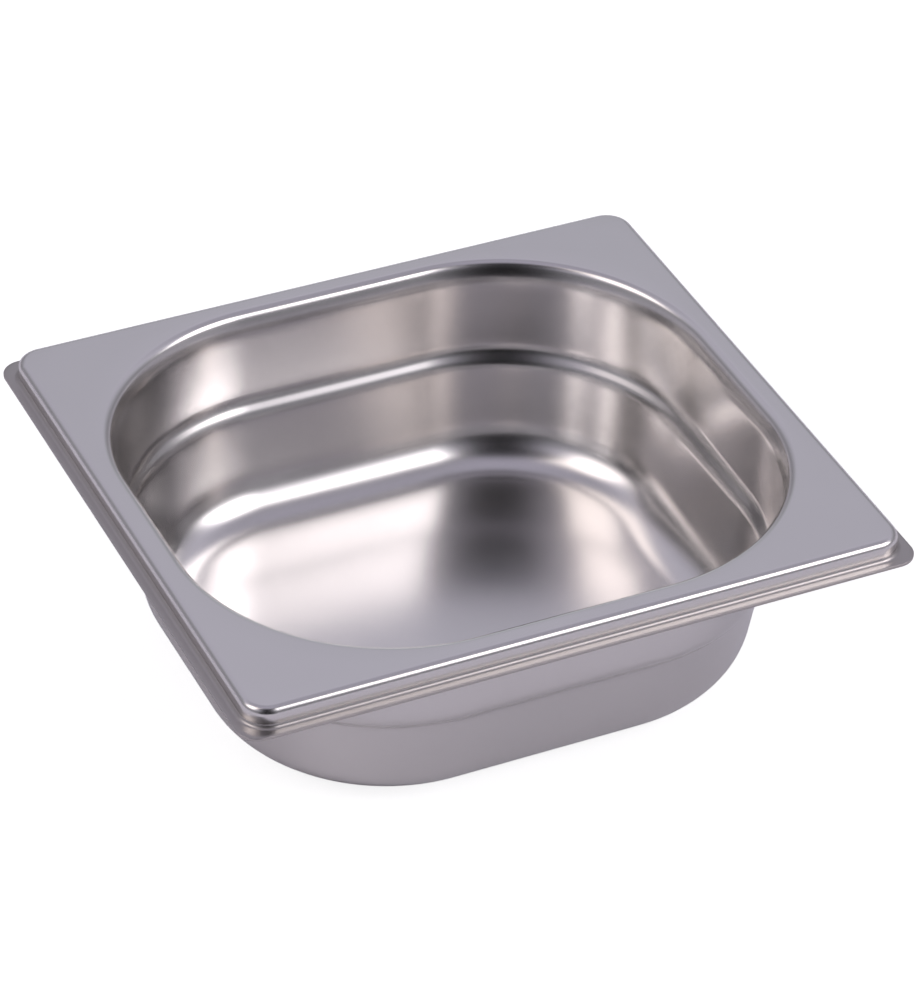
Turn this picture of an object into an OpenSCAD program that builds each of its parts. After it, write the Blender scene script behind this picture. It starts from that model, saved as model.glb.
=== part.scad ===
// Steam-table food pan, sixth size, shallow, pressed from one sheet of stainless steel.
// Origin at the middle of the base, on the plane the pan stands on.
// +X runs along the longer side of the rim and +Z points up. Millimetres.

/* [Part] */
// Which node to draw

/* [Overall size] */
// Length of the rim over its outer edges
rim_length = 176; // [170:0.5:182]
// Width of the rim over its outer edges
rim_width = 162; // [156:0.5:168]
// Height from the base to the top of the rim
pan_height = 56; // [50:0.5:70]
// Thickness of the sheet
sheet = 0.8; // [0.6:0.05:0.9]

/* [Rim] */
// Width of the narrow lip outside the raised bead
lip_width = 2.7; // [2.4:0.1:3.5]
// Drop from the top of the rim to the top of the lip
lip_drop = 5.2; // [4.5:0.1:7]
// Corner radius of the lip's cut edge
lip_corner = 5.5; // [4:0.1:8]
// Corner radius of the bead's upright wall
bead_corner = 6.8; // [5.5:0.1:9]
// Outside radius over the top of the bead
bead_radius = 2; // [1.6:0.1:2.2]
// Inside radius where the bead's wall turns out into the lip
lip_fillet = 1.2; // [0.9:0.1:1.4]

/* [Opening] */
// Distance from the lip's edge to the mouth slope's line at rim height
opening_inset = 9.3; // [9:0.1:10.5]
// Plan radius of the opening's corners, on that line
opening_corner = 54; // [50:0.5:57]
// Radius of the tight bend from the rim down into the mouth, on the upper face
opening_bend = 2.7; // [2:0.1:3]
// Lean of the mouth's slope from upright
mouth_lean = 30; // [25:1:35]
// Length of the mouth's slope between the lines of the rim and the upper wall
mouth_length = 4.3; // [4.3:0.1:5]
// Radius of the gentle bend from the mouth into the upper wall, on the upper face
mouth_bend = 10.3; // [8:0.1:10.5]

/* [Walls] */
// Lean of the upper wall from upright
upper_lean = 2.5; // [1:0.5:4]
// Depth of the stacking shoulder below the top of the rim
shoulder_depth = 25.1; // [22:0.1:28]
// Lean of the shoulder's sloping ledge from upright
shoulder_lean = 37.5; // [34:0.5:40]
// Length of the ledge between the lines of the two walls
shoulder_length = 4.4; // [4.2:0.1:5]
// Radius of both bends of the shoulder, on the inside of each bend
shoulder_bend = 5.8; // [4:0.1:6]
// Lean of the lower wall from upright
lower_lean = 9; // [5:0.5:11]
// Radius between the lower wall and the floor, on the inner face
floor_bend = 13; // [10:0.5:15]

/* [Hidden] */
$fn = 96;
steel = [0.72, 0.72, 0.74];
// Largest turn between two neighbouring facets of a bend
step = 7.5;
// Flat length that the rim's plates share with the bends beside them
shared = 0.6;
half_length = rim_length / 2;
half_width = rim_width / 2;
// The body's corners and the rim's corners turn about these upright axes
body_x = half_length - opening_inset - opening_corner;
body_y = half_width - opening_inset - opening_corner;
rim_x = half_length - lip_width - bead_corner;
rim_y = half_width - lip_width - bead_corner;

function down(lean) = [-sin(lean), -cos(lean)];
function inward(lean) = [-cos(lean), sin(lean)];

// Points where the lines of the upper face cross, outward from the body's corner axis
mouth_top = [opening_corner, pan_height];
wall_top = mouth_top + mouth_length * down(mouth_lean);
ledge_depth = wall_top[1] - pan_height + shoulder_depth;
ledge_top = wall_top + ledge_depth / cos(upper_lean) * down(upper_lean);
ledge_foot = ledge_top + shoulder_length * down(shoulder_lean);
wall_foot = ledge_foot + (ledge_foot[1] - sheet) / cos(lower_lean) * down(lower_lean);

// Centres of the five bends of the body
outer_bend = shoulder_bend + sheet;
opening_axis = mouth_top + opening_bend * [tan(45 - mouth_lean / 2), -1];
mouth_back = mouth_bend * tan((mouth_lean - upper_lean) / 2);
mouth_axis = wall_top + mouth_back * down(upper_lean) - mouth_bend * inward(upper_lean);
hollow_back = shoulder_bend * tan((shoulder_lean - upper_lean) / 2);
hollow_axis = ledge_top - hollow_back * down(upper_lean) + shoulder_bend * inward(upper_lean);
nose_back = outer_bend * tan((shoulder_lean - lower_lean) / 2);
nose_axis = ledge_foot - nose_back * down(shoulder_lean) - outer_bend * inward(shoulder_lean);
floor_axis = [wall_foot[0] - floor_bend * tan(45 - lower_lean / 2), sheet + floor_bend];

// Points along an arc of radius r about c, from angle a to angle b
function arc(c, r, a, b) =
    let (n = ceil(abs(b - a) / step))
    [for (i = [0:n]) c + r * [cos(a + (b - a) * i / n), sin(a + (b - a) * i / n)]];

function reversed(list) = [for (i = [len(list) - 1:-1:0]) list[i]];

// One face of the body's sheet, from the rim to the floor; depth is how far it lies below the upper face
function body_face(depth) = concat(
    [[opening_axis[0] + 2 * shared, pan_height - depth]],
    arc(opening_axis, opening_bend - depth, 90, 180 - mouth_lean),
    arc(mouth_axis, mouth_bend - depth, 180 - mouth_lean, 180 - upper_lean),
    arc(hollow_axis, shoulder_bend + depth, -upper_lean, -shoulder_lean),
    arc(nose_axis, outer_bend - depth, 180 - shoulder_lean, 180 - lower_lean),
    arc(floor_axis, floor_bend + depth, -lower_lean, -90),
    [[0, sheet - depth]]
);

// One face of the bead's sheet, from the flat of the rim to the lip
function bead_face(depth) = concat(
    [[bead_corner - bead_radius - 2 * shared, pan_height - depth]],
    arc([bead_corner - bead_radius, pan_height - bead_radius], bead_radius - depth, 90, 0),
    arc([bead_corner + lip_fillet, pan_height - lip_drop + lip_fillet], lip_fillet + depth, 180, 270),
    [[bead_corner + lip_fillet + shared, pan_height - lip_drop - depth]]
);

module body_section() {
    polygon(concat(body_face(0), reversed(body_face(sheet))));
}

module bead_section() {
    polygon(concat(bead_face(0), reversed(bead_face(sheet))));
}

// Sweeps a section round a rounded rectangle whose corner axes stand at x and y
module sweep(x, y) {
    for (i = [0, 1]) {
        for (j = [0, 1]) {
            mirror([i, 0, 0])
                mirror([0, j, 0])
                    translate([x, y, 0])
                        rotate_extrude(angle = 90)
                            children();
        }
        mirror([i, 0, 0])
            translate([x, y, 0])
                rotate([90, 0, 0])
                    linear_extrude(2 * y)
                        children();
        mirror([0, i, 0])
            translate([-x, y, 0])
                rotate([90, 0, 90])
                    linear_extrude(2 * x)
                        children();
    }
}

// Rounded rectangle whose corners of radius r stand on axes at x and y
module rounded(x, y, r) {
    square([2 * (x + r), 2 * y], center = true);
    square([2 * x, 2 * (y + r)], center = true);
    for (i = [-1, 1]) {
        for (j = [-1, 1]) {
            translate([i * x, j * y])
                circle(r = r);
        }
    }
}

// The flat of the rim, a plate with a round-cornered opening
module rim_flat() {
    translate([0, 0, pan_height - sheet])
        linear_extrude(sheet)
            difference() {
                rounded(rim_x, rim_y, bead_corner - bead_radius - shared);
                rounded(body_x, body_y, opening_axis[0] + shared);
            }
}

// The narrow lip with the sheet's cut edge
module lip() {
    translate([0, 0, pan_height - lip_drop - sheet])
        linear_extrude(sheet)
            difference() {
                rounded(half_length - lip_corner, half_width - lip_corner, lip_corner);
                rounded(rim_x, rim_y, bead_corner + lip_fillet);
            }
}

// The middle of the floor, between the body's corner axes
module floor_middle() {
    translate([-body_x, -body_y, 0])
        cube([2 * body_x, 2 * body_y, sheet]);
}

// The whole pan, one pressed sheet
module pan() {
    color(steel) {
        floor_middle();
        sweep(body_x, body_y)
            body_section();
        rim_flat();
        sweep(rim_x, rim_y)
            bead_section();
        lip();
    }
}

pan();
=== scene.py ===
"""Sixth-size stainless food pan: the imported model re-skinned with a fine pressed-sheet mesh."""

import math

import bpy
from mathutils import Matrix, Vector


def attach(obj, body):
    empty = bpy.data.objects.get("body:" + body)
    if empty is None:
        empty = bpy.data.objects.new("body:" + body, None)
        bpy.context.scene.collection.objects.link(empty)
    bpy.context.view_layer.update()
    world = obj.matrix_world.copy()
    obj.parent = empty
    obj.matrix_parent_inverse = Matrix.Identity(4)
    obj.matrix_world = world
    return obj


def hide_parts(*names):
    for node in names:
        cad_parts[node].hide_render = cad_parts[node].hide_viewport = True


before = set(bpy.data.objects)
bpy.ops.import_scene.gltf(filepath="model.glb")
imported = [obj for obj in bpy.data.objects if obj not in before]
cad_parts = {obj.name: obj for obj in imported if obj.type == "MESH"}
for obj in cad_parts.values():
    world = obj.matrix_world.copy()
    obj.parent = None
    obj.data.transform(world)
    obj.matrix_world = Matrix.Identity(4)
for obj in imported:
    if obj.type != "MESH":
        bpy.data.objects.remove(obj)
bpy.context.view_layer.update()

MM = 0.001

# The pan, in millimetres, as in the CAD source
HALF_LENGTH = 88.0
HALF_WIDTH = 81.0
HEIGHT = 56.0
SHEET = 0.8
LIP_WIDTH = 2.7
LIP_DROP = 5.2
LIP_CORNER = 5.5
BEAD_CORNER = 6.8
BEAD_RADIUS = 2.0
LIP_FILLET = 1.2
OPENING_INSET = 9.3
OPENING_CORNER = 54.0
OPENING_BEND = 2.7
MOUTH_LEAN = math.radians(30)
MOUTH_LENGTH = 4.3
MOUTH_BEND = 10.3
UPPER_LEAN = math.radians(2.5)
SHOULDER_DEPTH = 25.1
SHOULDER_LEAN = math.radians(37.5)
SHOULDER_LENGTH = 4.4
SHOULDER_BEND = 5.8
LOWER_LEAN = math.radians(9)
FLOOR_BEND = 13.0

OPENING_REACH = OPENING_INSET + OPENING_CORNER
BODY_AXIS = Vector((HALF_LENGTH - OPENING_REACH, HALF_WIDTH - OPENING_REACH))
RIM_AXIS = Vector((HALF_LENGTH - LIP_WIDTH - BEAD_CORNER, HALF_WIDTH - LIP_WIDTH - BEAD_CORNER))
LIP_AXIS = Vector((HALF_LENGTH - LIP_CORNER, HALF_WIDTH - LIP_CORNER))

# The cut edge's corners: how far they are taken off sideways and up or down
EDGE_NICK = 0.03
EDGE_ROUND = 0.1

# How finely the sheet is cut up, and the radius where the floor's rings give way to one fan of faces
CORNER_STEPS = 40
SIDE_STEPS = 14
ARC_STEP = math.radians(6)
FAN_RADIUS = 8.0


def polar(radius, angle):
    return Vector((radius * math.cos(angle), radius * math.sin(angle)))


def down(lean):
    return Vector((-math.sin(lean), -math.cos(lean)))


def inward(lean):
    return Vector((-math.cos(lean), math.sin(lean)))


def arc(centre, radius, start, end):
    """Points along an arc of the section."""
    steps = max(3, math.ceil(abs(end - start) / ARC_STEP))
    angles = [start + (end - start) * i / steps for i in range(steps + 1)]
    return [centre + polar(radius, a) for a in angles]


def straight(start, end, steps):
    """Points between two ends, without the ends."""
    return [start.lerp(end, (i + 1) / (steps + 1)) for i in range(steps)]


def body_face(depth):
    """The body's section from the flat of the rim to the floor, outward from the corner's axis and up."""
    right = math.pi / 2
    mouth_top = Vector((OPENING_CORNER, HEIGHT))
    wall_top = mouth_top + MOUTH_LENGTH * down(MOUTH_LEAN)
    ledge_depth = wall_top.y - HEIGHT + SHOULDER_DEPTH
    ledge_top = wall_top + ledge_depth / math.cos(UPPER_LEAN) * down(UPPER_LEAN)
    ledge_foot = ledge_top + SHOULDER_LENGTH * down(SHOULDER_LEAN)
    wall_foot = ledge_foot + (ledge_foot.y - SHEET) / math.cos(LOWER_LEAN) * down(LOWER_LEAN)
    outer = SHOULDER_BEND + SHEET
    opening_axis = mouth_top + Vector((OPENING_BEND * math.tan((right - MOUTH_LEAN) / 2), -OPENING_BEND))
    mouth_back = MOUTH_BEND * math.tan((MOUTH_LEAN - UPPER_LEAN) / 2)
    mouth_axis = wall_top + mouth_back * down(UPPER_LEAN) - MOUTH_BEND * inward(UPPER_LEAN)
    hollow_back = SHOULDER_BEND * math.tan((SHOULDER_LEAN - UPPER_LEAN) / 2)
    hollow_axis = ledge_top - hollow_back * down(UPPER_LEAN) + SHOULDER_BEND * inward(UPPER_LEAN)
    nose_back = outer * math.tan((SHOULDER_LEAN - LOWER_LEAN) / 2)
    nose_axis = ledge_foot - nose_back * down(SHOULDER_LEAN) - outer * inward(SHOULDER_LEAN)
    floor_axis = Vector((wall_foot.x - FLOOR_BEND * math.tan((right - LOWER_LEAN) / 2), SHEET + FLOOR_BEND))
    opening = arc(opening_axis, OPENING_BEND - depth, right, math.pi - MOUTH_LEAN)
    mouth = arc(mouth_axis, MOUTH_BEND - depth, math.pi - MOUTH_LEAN, math.pi - UPPER_LEAN)
    hollow = arc(hollow_axis, SHOULDER_BEND + depth, -UPPER_LEAN, -SHOULDER_LEAN)
    nose = arc(nose_axis, outer - depth, math.pi - SHOULDER_LEAN, math.pi - LOWER_LEAN)
    foot = arc(floor_axis, FLOOR_BEND + depth, -LOWER_LEAN, -right)
    inner = Vector((FAN_RADIUS, SHEET - depth))
    return (opening + mouth + straight(mouth[-1], hollow[0], 8) + hollow + nose
            + straight(nose[-1], foot[0], 6) + foot + straight(foot[-1], inner, 4) + [inner])


def bead_face(depth):
    """The bead's section from the flat of the rim to the lip, outward from the rim corner's axis and up."""
    right = math.pi / 2
    crown = arc(Vector((BEAD_CORNER - BEAD_RADIUS, HEIGHT - BEAD_RADIUS)), BEAD_RADIUS - depth, right, 0)
    foot_axis = Vector((BEAD_CORNER + LIP_FILLET, HEIGHT - LIP_DROP + LIP_FILLET))
    foot = arc(foot_axis, LIP_FILLET + depth, math.pi, 3 * right)
    return crown + foot


def ring(axis, radius, height):
    """Points round a rounded rectangle whose corner axes stand at the given place."""
    points = []
    for quarter in range(4):
        sx = 1 if quarter in (0, 3) else -1
        sy = 1 if quarter in (0, 1) else -1
        centre = Vector((sx * axis.x, sy * axis.y))
        for i in range(CORNER_STEPS + 1):
            p = centre + polar(radius, math.radians(90 * quarter + 90 * i / CORNER_STEPS))
            points.append(Vector((p.x, p.y, height)))
        nxt = (quarter + 1) % 4
        tx = 1 if nxt in (0, 3) else -1
        ty = 1 if nxt in (0, 1) else -1
        start = points[-1]
        p = Vector((tx * axis.x, ty * axis.y)) + polar(radius, math.radians(90 * (quarter + 1)))
        end = Vector((p.x, p.y, height))
        points += straight(start, end, SIDE_STEPS - 1)
    return points


def sheet_rings(depth):
    """Every ring of one face of the sheet, from the middle of the floor out to the lip's edge."""
    rings = [ring(BODY_AXIS, p.x, p.y) for p in reversed(body_face(depth))]
    flat_in = rings[-1]
    bead = [ring(RIM_AXIS, p.x, p.y) for p in bead_face(depth)]
    for i in range(1, 4):
        rings.append([a.lerp(b, i / 4) for a, b in zip(flat_in, bead[0])])
    rings += bead
    edge_height = HEIGHT - LIP_DROP - depth
    edge = ring(LIP_AXIS, LIP_CORNER - EDGE_ROUND, edge_height)
    rings.append([a.lerp(b, 0.5) for a, b in zip(bead[-1], edge)])
    rings.append(edge)
    return rings


def cut_edge():
    """The rings of the sheet's cut edge, from its upper corner to its lower one."""
    top = HEIGHT - LIP_DROP
    foot = top - SHEET
    return [ring(LIP_AXIS, LIP_CORNER - EDGE_NICK, top - EDGE_NICK),
            ring(LIP_AXIS, LIP_CORNER, top - EDGE_ROUND),
            ring(LIP_AXIS, LIP_CORNER, foot + EDGE_ROUND),
            ring(LIP_AXIS, LIP_CORNER - EDGE_NICK, foot + EDGE_NICK)]


def pan_mesh(name):
    upper = sheet_rings(0.0)
    lower = sheet_rings(SHEET)
    rings = upper + cut_edge() + list(reversed(lower))
    count = len(rings[0])
    verts = [v * MM for r in rings for v in r]
    faces = []
    for a in range(len(rings) - 1):
        for i in range(count):
            j = (i + 1) % count
            faces.append((a * count + i, a * count + j, (a + 1) * count + j, (a + 1) * count + i))
    top_centre = len(verts)
    verts.append(Vector((0, 0, SHEET * MM)))
    low_centre = len(verts)
    verts.append(Vector((0, 0, 0)))
    last = (len(rings) - 1) * count
    for i in range(count):
        j = (i + 1) % count
        faces.append((top_centre, j, i))
        faces.append((low_centre, last + i, last + j))
    mesh = bpy.data.meshes.new(name)
    mesh.from_pydata([tuple(v) for v in verts], [], faces)
    mesh.validate()
    mesh.update()
    mesh.shade_smooth()
    return mesh


pan = bpy.data.objects.new("pan_sheet", pan_mesh("pan_sheet"))
bpy.context.scene.collection.objects.link(pan)
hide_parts("pan")
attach(pan, "root")

# Steel: its darker and lighter places, its shine, and the two noises that they follow
STEEL_DARK = (0.76, 0.74, 0.725, 1)
STEEL_LIGHT = (0.80, 0.78, 0.765, 1)
STEEL_ROUGHNESS = (0.19, 0.25)
GRAIN_SCALE = 1800
GRAIN_STRETCH = (1.0, 0.35, 1.0)
CLOUD_SCALE = 45
BUMP_STRENGTH = 0.05
BUMP_DEPTH = 0.00005

# The lip and the crease at its foot are rougher, and darkened with painted shade that dims their
# reflections: from this far out and this level down, fading in over these distances, in metres
LIP_FROM = ((HALF_LENGTH - 6) * MM, (HALF_WIDTH - 6) * MM)
LIP_FADE = 0.0005
LIP_FULL_LEVEL = (HEIGHT - LIP_DROP + 0.4) * MM
LIP_NONE_LEVEL = (HEIGHT - LIP_DROP + 1.4) * MM
LIP_SHADE_COLOUR = (0.66, 0.64, 0.63, 1)
LIP_EXTRA_ROUGHNESS = 0.14


def maths_in(tree):
    """A function that adds a maths node to the tree. Each value is a number or another node's output."""
    def calc(operation, *values):
        made = tree.nodes.new("ShaderNodeMath")
        made.operation = operation
        for socket, value in zip(made.inputs, values):
            if isinstance(value, (int, float)):
                socket.default_value = value
            else:
                tree.links.new(value, socket)
        return made.outputs[0]
    return calc


def ramp(tree, value, start, end):
    """0 where value is at start, 1 where it is at end, straight between and level beyond."""
    made = tree.nodes.new("ShaderNodeMapRange")
    made.inputs["From Min"].default_value = start
    made.inputs["From Max"].default_value = end
    tree.links.new(value, made.inputs["Value"])
    return made.outputs["Result"]


def noise(tree, coordinates, scale, detail):
    made = tree.nodes.new("ShaderNodeTexNoise")
    made.inputs["Scale"].default_value = scale
    made.inputs["Detail"].default_value = detail
    tree.links.new(coordinates, made.inputs["Vector"])
    return made.outputs["Fac"]


def lip_rough_and_shade_mask(tree, coordinates):
    """1 on the narrow lip and the crease at its foot, which are made rougher and darkened with painted
    shade; 0 on the rest of the pan.
    """
    calc = maths_in(tree)
    place = tree.nodes.new("ShaderNodeSeparateXYZ")
    tree.links.new(coordinates, place.inputs[0])
    outside = [ramp(tree, calc("ABSOLUTE", place.outputs[axis]), start, start + LIP_FADE)
               for axis, start in zip("XY", LIP_FROM)]
    low = ramp(tree, place.outputs["Z"], LIP_NONE_LEVEL, LIP_FULL_LEVEL)
    return calc("MULTIPLY", calc("MAXIMUM", *outside), low)


def steel():
    material = bpy.data.materials.new("satin_stainless")
    material.use_nodes = True
    tree = material.node_tree
    tree.nodes.clear()
    link = tree.links.new
    out = tree.nodes.new("ShaderNodeOutputMaterial")
    shader = tree.nodes.new("ShaderNodeBsdfPrincipled")
    shader.inputs["Metallic"].default_value = 1.0
    link(shader.outputs["BSDF"], out.inputs["Surface"])
    place = tree.nodes.new("ShaderNodeTexCoord").outputs["Object"]

    stretch = tree.nodes.new("ShaderNodeMapping")
    stretch.inputs["Scale"].default_value = GRAIN_STRETCH
    link(place, stretch.inputs["Vector"])
    grain = noise(tree, stretch.outputs["Vector"], GRAIN_SCALE, 3)
    cloud = noise(tree, place, CLOUD_SCALE, 4)
    shaded_rough_lip = lip_rough_and_shade_mask(tree, place)

    mix = tree.nodes.new("ShaderNodeMix")
    mix.data_type = "RGBA"
    mix.inputs["A"].default_value = STEEL_DARK
    mix.inputs["B"].default_value = STEEL_LIGHT
    link(cloud, mix.inputs["Factor"])
    # Painted shade: the lip and its foot crease are darkened in colour to dim their reflections
    lip_shading = tree.nodes.new("ShaderNodeMix")
    lip_shading.data_type = "RGBA"
    lip_shading.blend_type = "MULTIPLY"
    lip_shading.inputs["B"].default_value = LIP_SHADE_COLOUR
    link(shaded_rough_lip, lip_shading.inputs["Factor"])
    link(mix.outputs["Result"], lip_shading.inputs["A"])
    link(lip_shading.outputs["Result"], shader.inputs["Base Color"])

    rough = tree.nodes.new("ShaderNodeMapRange")
    rough.inputs["To Min"].default_value = STEEL_ROUGHNESS[0]
    rough.inputs["To Max"].default_value = STEEL_ROUGHNESS[1]
    link(cloud, rough.inputs["Value"])
    calc = maths_in(tree)
    roughness = calc("ADD", rough.outputs["Result"], calc("MULTIPLY", shaded_rough_lip, LIP_EXTRA_ROUGHNESS))
    link(roughness, shader.inputs["Roughness"])

    bump = tree.nodes.new("ShaderNodeBump")
    bump.inputs["Strength"].default_value = BUMP_STRENGTH
    bump.inputs["Distance"].default_value = BUMP_DEPTH
    link(grain, bump.inputs["Height"])
    link(bump.outputs["Normal"], shader.inputs["Normal"])
    return material


pan.data.materials.append(steel())

# Surroundings: a floor that only the steel sees, and a paler floor and a white backdrop for the camera
FLOOR_REACH = 3.0
FLOOR_COLOUR = (0.88, 0.87, 0.92)
PALE_FLOOR_COLOUR = (0.5, 0.5, 0.5)
FLOOR_LEVEL = -0.0003
PALE_FLOOR_LEVEL = -0.0002
FLOOR_GLOW = 0.02
PALE_FLOOR_GLOW = 0.83
BACKDROP_RADIUS = 2.9
BACKDROP_HEIGHT = 4.0
BACKDROP_SINK = 0.01


def matt(name, colour, glow):
    material = bpy.data.materials.new(name)
    material.use_nodes = True
    shader = material.node_tree.nodes["Principled BSDF"]
    shader.inputs["Base Color"].default_value = (*colour, 1)
    shader.inputs["Roughness"].default_value = 0.9
    shader.inputs["Specular IOR Level"].default_value = 0
    shader.inputs["Emission Color"].default_value = (1, 1, 1, 1)
    shader.inputs["Emission Strength"].default_value = glow
    return material


def flat(name, height, colour, glow):
    mesh = bpy.data.meshes.new(name)
    r = FLOOR_REACH
    mesh.from_pydata([(-r, -r, 0), (r, -r, 0), (r, r, 0), (-r, r, 0)], [], [(0, 1, 2, 3)])
    mesh.materials.append(matt(name, colour, glow))
    made = bpy.data.objects.new(name, mesh)
    made.location.z = height
    bpy.context.scene.collection.objects.link(made)
    return made


def camera_only(thing):
    for ray in ("visible_diffuse", "visible_glossy", "visible_transmission", "visible_shadow"):
        setattr(thing, ray, False)


floor = flat("floor", FLOOR_LEVEL, FLOOR_COLOUR, FLOOR_GLOW)
floor.visible_camera = False
camera_only(flat("pale_floor", PALE_FLOOR_LEVEL, PALE_FLOOR_COLOUR, PALE_FLOOR_GLOW))

bpy.ops.mesh.primitive_cylinder_add(vertices=96, radius=BACKDROP_RADIUS, depth=BACKDROP_HEIGHT,
                                    location=(0, 0, BACKDROP_HEIGHT / 2 - BACKDROP_SINK))
backdrop = bpy.context.object
backdrop.name = "backdrop"
backdrop.data.materials.append(matt("backdrop", (0, 0, 0), 1))
camera_only(backdrop)

# Camera: placed by its viewing angle, roll and distance to the pan. AIM is where the pan's origin stands
# from the camera: right, up and ahead. FOCAL is in sensor widths.
AZIMUTH = math.radians(25.67)
ELEVATION = math.radians(36.73)
ROLL = math.radians(1.56)
AIM = Vector((-4.437, -30.846, 1179.78)) * MM
FOCAL = 4.6726
flat_part = math.cos(ELEVATION)
ahead = Vector((math.sin(AZIMUTH) * flat_part, math.cos(AZIMUTH) * flat_part, -math.sin(ELEVATION)))
side = ahead.cross(Vector((0, 0, 1))).normalized()
up = side.cross(ahead)
across = math.cos(ROLL) * side + math.sin(ROLL) * up
upward = math.cos(ROLL) * up - math.sin(ROLL) * side
eye = -(across * AIM.x + upward * AIM.y + ahead * AIM.z)
camera_data = bpy.data.cameras.new("camera")
camera_data.sensor_width = 36
camera_data.sensor_fit = "AUTO"
camera_data.lens = FOCAL * camera_data.sensor_width
camera = bpy.data.objects.new("camera", camera_data)
camera.matrix_world = Matrix.Translation(eye) @ Matrix((across, upward, -ahead)).transposed().to_4x4()
bpy.context.scene.collection.objects.link(camera)
bpy.context.scene.camera = camera

# Light: a grey tent, a softbox on either side, a dark gap between them on the side the camera stands, a
# dimmer band (the bridge) across that side above it, and a low glow on the far side. Bearings are in
# degrees round the pan from the camera's side, positive to its left; heights are in degrees above the
# horizon. The tent's colours are given by height.
GAP_BEARING = 205.67
TENT = ((0, (0.43, 0.41, 0.48)), (18, (0.22, 0.22, 0.24)), (42, (0.53, 0.515, 0.61)),
        (62, (0.36, 0.35, 0.42)), (90, (0.42, 0.40, 0.50)))
FAR_GLOW = {"half_width": 13.0, "half_height": 25.5, "colour": (0.33, 0.365, 0.38)}
GAP = {"bearing": -4.8, "half_width": 30.2, "soft_side": 14.5, "top": 74.0, "soft_top": 9.0}
BRIDGE = {"half_width": 90.0, "soft_side": 16.0, "height": 60.0, "half_height": 8.0, "soft_top": 4.0,
          "strength": 0.5}
RIGHT_LIGHT = {"bearing": -71.4, "half_width": 20.0, "soft_side": 4.5, "height": 41.0, "half_height": 14.5,
               "soft_top": 4.0, "slope": 0.12, "colour": (3.1, 2.98, 3.04)}
LEFT_LIGHT = {"bearing": 70.9, "half_width": 20.5, "soft_side": 5.0, "height": 47.6, "half_height": 16.8,
              "soft_top": 5.5, "slope": -0.195, "colour": (1.73, 1.58, 1.52)}

world = bpy.data.worlds.new("studio")
bpy.context.scene.world = world
world.use_nodes = True
sky = world.node_tree
sky.nodes.clear()
calc = maths_in(sky)


def window(value, half, soft):
    """1 where value lies within half of zero, 0 outside, with soft edges."""
    rise = calc("TANH", calc("DIVIDE", calc("ADD", value, half), soft))
    fall = calc("TANH", calc("DIVIDE", calc("SUBTRACT", value, half), soft))
    return calc("MULTIPLY", calc("SUBTRACT", rise, fall), 0.5)


def tinted(amount, colour):
    """amount times colour, as a vector."""
    made = sky.nodes.new("ShaderNodeVectorMath")
    made.operation = "SCALE"
    made.inputs[0].default_value = colour
    sky.links.new(amount, made.inputs["Scale"])
    return made.outputs[0]


def below(value, middle, soft):
    """1 well below the middle, 0 well above it."""
    drop = calc("TANH", calc("DIVIDE", calc("SUBTRACT", value, middle), soft))
    return calc("MULTIPLY", calc("SUBTRACT", 1, drop), 0.5)


def vector_sum(first, second):
    made = sky.nodes.new("ShaderNodeVectorMath")
    made.operation = "ADD"
    sky.links.new(first, made.inputs[0])
    sky.links.new(second, made.inputs[1])
    return made.outputs[0]


direction = sky.nodes.new("ShaderNodeTexCoord")
parts = sky.nodes.new("ShaderNodeSeparateXYZ")
sky.links.new(direction.outputs["Generated"], parts.inputs[0])
turn = math.radians(GAP_BEARING)
east, north, rise_z = parts.outputs
forward = calc("ADD", calc("MULTIPLY", east, math.sin(turn)), calc("MULTIPLY", north, math.cos(turn)))
sideways = calc("SUBTRACT", calc("MULTIPLY", east, math.cos(turn)), calc("MULTIPLY", north, math.sin(turn)))
bearing = calc("MULTIPLY", calc("ARCTAN2", sideways, forward), 180 / math.pi)
height = calc("MULTIPLY", calc("ARCSINE", rise_z), 180 / math.pi)


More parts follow.
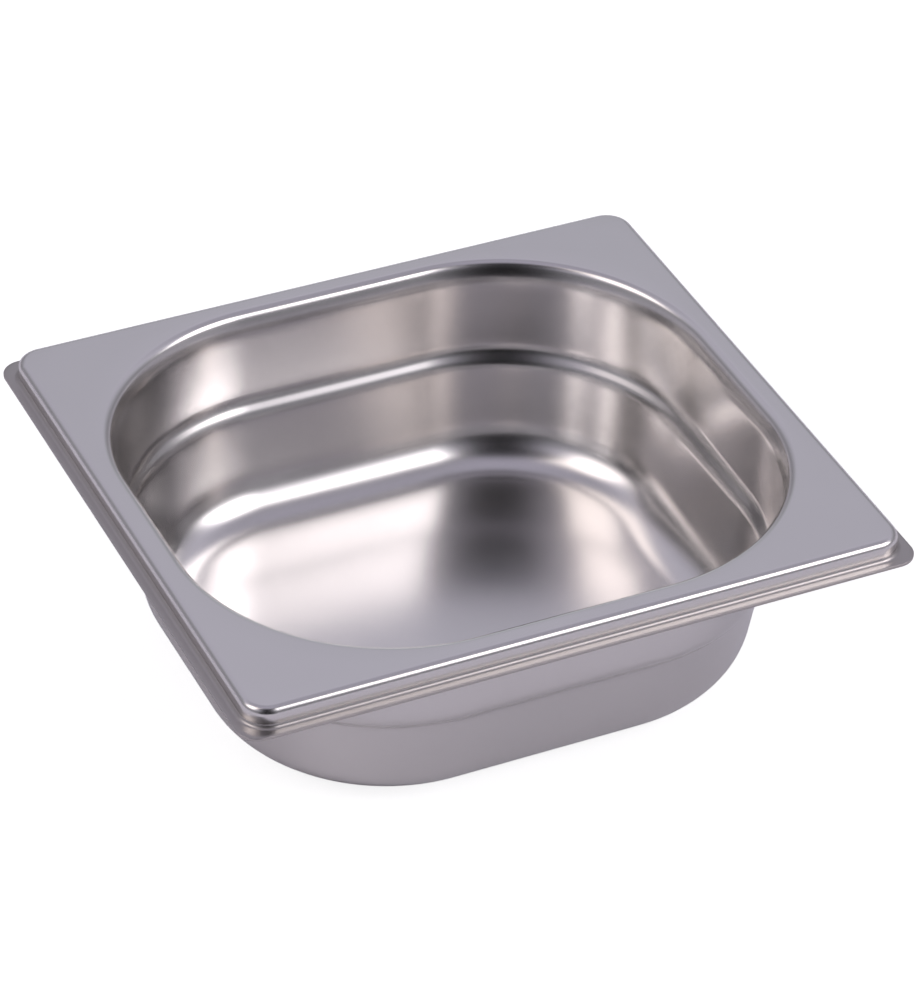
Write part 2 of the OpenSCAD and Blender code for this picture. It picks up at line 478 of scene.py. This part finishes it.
def softbox(light):
    off = calc("SUBTRACT", bearing, light["bearing"])
    level = calc("ADD", calc("MULTIPLY", off, light["slope"]), light["height"])
    across = window(off, light["half_width"], light["soft_side"])
    along = window(calc("SUBTRACT", height, level), light["half_height"], light["soft_top"])
    return tinted(calc("MULTIPLY", across, along), light["colour"])


tent = sky.nodes.new("ShaderNodeValToRGB")
tent.color_ramp.elements[0].position = 0
tent.color_ramp.elements[1].position = 1
for _ in range(len(TENT) - 2):
    tent.color_ramp.elements.new(0.5)
for element, (level, colour) in zip(tent.color_ramp.elements, TENT):
    element.position = level / 90
    element.color = (*colour, 1)
sky.links.new(calc("DIVIDE", height, 90), tent.inputs[0])

off_gap = calc("SUBTRACT", bearing, GAP["bearing"])
gap = calc("MULTIPLY", window(off_gap, GAP["half_width"], GAP["soft_side"]),
           below(height, GAP["top"], GAP["soft_top"]))
bridge_across = window(off_gap, BRIDGE["half_width"], BRIDGE["soft_side"])
bridge_along = window(calc("SUBTRACT", height, BRIDGE["height"]), BRIDGE["half_height"], BRIDGE["soft_top"])
bridge = calc("MULTIPLY", calc("MULTIPLY", bridge_across, bridge_along), BRIDGE["strength"])
lit = calc("MULTIPLY", calc("SUBTRACT", 1, gap), calc("SUBTRACT", 1, bridge))

from_far = calc("DIVIDE", calc("SUBTRACT", 180, calc("ABSOLUTE", bearing)), FAR_GLOW["half_width"])
from_level = calc("DIVIDE", height, FAR_GLOW["half_height"])
from_glow = calc("ADD", calc("MULTIPLY", from_far, from_far), calc("MULTIPLY", from_level, from_level))
glow = calc("EXPONENT", calc("MULTIPLY", from_glow, -1))
surround = sky.nodes.new("ShaderNodeVectorMath")
surround.operation = "SCALE"
sky.links.new(vector_sum(tent.outputs[0], tinted(glow, FAR_GLOW["colour"])), surround.inputs[0])
sky.links.new(lit, surround.inputs["Scale"])
total = vector_sum(vector_sum(surround.outputs[0], softbox(RIGHT_LIGHT)), softbox(LEFT_LIGHT))
background = sky.nodes.new("ShaderNodeBackground")
sky.links.new(total, background.inputs["Color"])
sky_out = sky.nodes.new("ShaderNodeOutputWorld")
sky.links.new(background.outputs[0], sky_out.inputs["Surface"])
bpy.context.scene.view_settings.view_transform = "Standard"
